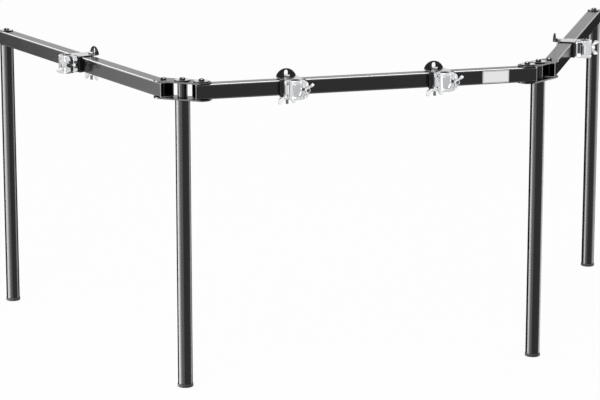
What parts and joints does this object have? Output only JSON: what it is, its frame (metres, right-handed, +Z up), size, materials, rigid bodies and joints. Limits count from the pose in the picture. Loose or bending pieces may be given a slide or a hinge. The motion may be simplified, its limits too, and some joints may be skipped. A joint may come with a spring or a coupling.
{
  "type": "instrument rack frame",
  "caption": "Free-standing three-sided rack: square rails hinged at two corners, round legs with rubber feet, and sliding collars that carry hinged tube clamps.",
  "frame": {"origin": "middle of the bounding box in plan, on the floor", "axes": "+X along the front rail, +Y back from the front rail towards the open side, +Z up"},
  "size_m": [1.8218, 1.1266, 0.8127],
  "materials": {
    "black_paint": "gloss",
    "collar_black": "satin",
    "bolt_black": "gloss",
    "chrome": "polished",
    "rubber": "matte",
    "cap_plastic": "matte"
  },
  "bodies": {
    "front_rail": {"rail_front": "black_paint"},
    "left_corner": {"corner_left_top_plate": "black_paint", "corner_left_bottom_plate": "black_paint", "corner_left_spacer": "black_paint", "corner_left_middle_washer": "black_paint", "corner_left_front_washer": "black_paint", "corner_left_middle_bolt": "bolt_black", "corner_left_front_bolt": "bolt_black", "corner_left_side_bolt": "bolt_black", "leg_left": "black_paint", "foot_left": "rubber"},
    "right_corner": {"corner_right_top_plate": "black_paint", "corner_right_bottom_plate": "black_paint", "corner_right_spacer": "black_paint", "corner_right_middle_washer": "black_paint", "corner_right_front_washer": "black_paint", "corner_right_middle_bolt": "bolt_black", "corner_right_front_bolt": "bolt_black", "corner_right_side_bolt": "bolt_black", "leg_right": "black_paint", "foot_right": "rubber"},
    "left_side": {"rail_left": "black_paint", "end_cap_left": "cap_plastic", "end_bolt_left": "bolt_black", "leg_far_left": "black_paint", "foot_far_left": "rubber"},
    "right_side": {"rail_right": "black_paint", "end_cap_right": "cap_plastic", "end_bolt_right": "bolt_black", "leg_far_right": "black_paint", "foot_far_right": "rubber"},
    "clamp_1": {"clamp_1_collar": "collar_black", "clamp_1_base": "chrome", "clamp_1_closing_bolt": "chrome"},
    "clamp_1_jaw": {"clamp_1_jaw": "chrome"},
    "clamp_1_swing": {"clamp_1_swing_bolt": "chrome"},
    "clamp_1_wing": {"clamp_1_wing_nut": "chrome"},
    "clamp_1_closing_wing": {"clamp_1_closing_nut": "chrome"},
    "clamp_2": {"clamp_2_collar": "collar_black", "clamp_2_base": "chrome", "clamp_2_closing_bolt": "chrome"},
    "clamp_2_jaw": {"clamp_2_jaw": "chrome"},
    "clamp_2_swing": {"clamp_2_swing_bolt": "chrome"},
    "clamp_2_wing": {"clamp_2_wing_nut": "chrome"},
    "clamp_2_closing_wing": {"clamp_2_closing_nut": "chrome"},
    "clamp_3": {"clamp_3_collar": "collar_black", "clamp_3_base": "chrome", "clamp_3_closing_bolt": "chrome"},
    "clamp_3_jaw": {"clamp_3_jaw": "chrome"},
    "clamp_3_swing": {"clamp_3_swing_bolt": "chrome"},
    "clamp_3_wing": {"clamp_3_wing_nut": "chrome"},
    "clamp_3_closing_wing": {"clamp_3_closing_nut": "chrome"},
    "clamp_4": {"clamp_4_collar": "collar_black", "clamp_4_base": "chrome", "clamp_4_closing_bolt": "chrome"},
    "clamp_4_jaw": {"clamp_4_jaw": "chrome"},
    "clamp_4_swing": {"clamp_4_swing_bolt": "chrome"},
    "clamp_4_wing": {"clamp_4_wing_nut": "chrome"},
    "clamp_4_closing_wing": {"clamp_4_closing_nut": "chrome"}
  },
  "joints": [
    {"name": "left_corner_turn", "type": "hinge", "parent": "front_rail", "child": "left_corner", "pos_m": [-0.57917, -0.47856, 0.77195], "axis": [0, 0, 1], "range_deg": [-25, 35]},
    {"name": "left_side_turn", "type": "hinge", "parent": "left_corner", "child": "left_side", "pos_m": [-0.66113, -0.41453, 0.77195], "axis": [0, 0, 1], "range_deg": [-22, 38]},
    {"name": "right_corner_turn", "type": "hinge", "parent": "front_rail", "child": "right_corner", "pos_m": [0.29523, -0.47856, 0.77195], "axis": [0, 0, 1], "range_deg": [-29, 30]},
    {"name": "right_side_turn", "type": "hinge", "parent": "right_corner", "child": "right_side", "pos_m": [0.38145, -0.4204, 0.77195], "axis": [0, 0, 1], "range_deg": [-27, 32]},
    {"name": "clamp_1_slide", "type": "slide", "parent": "left_side", "child": "clamp_1", "axis": [0.23, -0.9732, 0], "range_m": [-0.3, 0.3]},
    {"name": "clamp_1_jaw_open", "type": "hinge", "parent": "clamp_1", "child": "clamp_1_jaw", "pos_m": [-0.82113, 0.0565, 0.77195], "axis": [0, 0, -1], "range_deg": [0, 2.6]},
    {"name": "clamp_1_bolt_swing", "type": "hinge", "parent": "clamp_1", "child": "clamp_1_swing", "pos_m": [-0.79842, 0.00977, 0.77195], "axis": [0, 0, 1], "range_deg": [0, 85]},
    {"name": "clamp_1_wing_turn", "type": "hinge", "parent": "clamp_1_swing", "child": "clamp_1_wing", "pos_m": [-0.83151, 0.00194, 0.77195], "axis": [-0.9732, -0.23, 0], "continuous": true},
    {"name": "clamp_1_closing_turn", "type": "hinge", "parent": "clamp_1", "child": "clamp_1_closing_wing", "pos_m": [-0.74473, 0.04866, 0.7402], "axis": [0, 0, -1], "continuous": true},
    {"name": "clamp_2_slide", "type": "slide", "parent": "front_rail", "child": "clamp_2", "axis": [1, 0, 0], "range_m": [-0.15, 0.15]},
    {"name": "clamp_2_jaw_open", "type": "hinge", "parent": "clamp_2", "child": "clamp_2_jaw", "pos_m": [-0.37417, -0.52591, 0.77195], "axis": [0, 0, -1], "range_deg": [0, 2.6]},
    {"name": "clamp_2_bolt_swing", "type": "hinge", "parent": "clamp_2", "child": "clamp_2_swing", "pos_m": [-0.32347, -0.51456, 0.77195], "axis": [0, 0, 1], "range_deg": [0, 85]},
    {"name": "clamp_2_wing_turn", "type": "hinge", "parent": "clamp_2_swing", "child": "clamp_2_wing", "pos_m": [-0.32347, -0.54856, 0.77195], "axis": [0, -1, 0], "continuous": true},
    {"name": "clamp_2_closing_turn", "type": "hinge", "parent": "clamp_2", "child": "clamp_2_closing_wing", "pos_m": [-0.34897, -0.45336, 0.7402], "axis": [0, 0, -1], "continuous": true},
    {"name": "clamp_3_slide", "type": "slide", "parent": "front_rail", "child": "clamp_3", "axis": [1, 0, 0], "range_m": [-0.15, 0.07]},
    {"name": "clamp_3_jaw_open", "type": "hinge", "parent": "clamp_3", "child": "clamp_3_jaw", "pos_m": [0.02383, -0.52591, 0.77195], "axis": [0, 0, -1], "range_deg": [0, 2.6]},
    {"name": "clamp_3_bolt_swing", "type": "hinge", "parent": "clamp_3", "child": "clamp_3_swing", "pos_m": [0.07453, -0.51456, 0.77195], "axis": [0, 0, 1], "range_deg": [0, 85]},
    {"name": "clamp_3_wing_turn", "type": "hinge", "parent": "clamp_3_swing", "child": "clamp_3_wing", "pos_m": [0.07453, -0.54856, 0.77195], "axis": [0, -1, 0], "continuous": true},
    {"name": "clamp_3_closing_turn", "type": "hinge", "parent": "clamp_3", "child": "clamp_3_closing_wing", "pos_m": [0.04903, -0.45336, 0.7402], "axis": [0, 0, -1], "continuous": true},
    {"name": "clamp_4_slide", "type": "slide", "parent": "right_side", "child": "clamp_4", "axis": [0.512, 0.859, 0], "range_m": [-0.25, 0.3]},
    {"name": "clamp_4_jaw_open", "type": "hinge", "parent": "clamp_4", "child": "clamp_4_jaw", "pos_m": [0.5915, -0.1605, 0.77195], "axis": [0, 0, -1], "range_deg": [0, 2.6]},
    {"name": "clamp_4_bolt_swing", "type": "hinge", "parent": "clamp_4", "child": "clamp_4_swing", "pos_m": [0.60771, -0.11114, 0.77195], "axis": [0, 0, 1], "range_deg": [0, 85]},
    {"name": "clamp_4_wing_turn", "type": "hinge", "parent": "clamp_4_swing", "child": "clamp_4_wing", "pos_m": [0.63692, -0.12855, 0.77195], "axis": [0.859, -0.512, 0], "continuous": true},
    {"name": "clamp_4_closing_turn", "type": "hinge", "parent": "clamp_4", "child": "clamp_4_closing_wing", "pos_m": [0.54209, -0.10171, 0.7402], "axis": [0, 0, -1], "continuous": true}
  ]
}
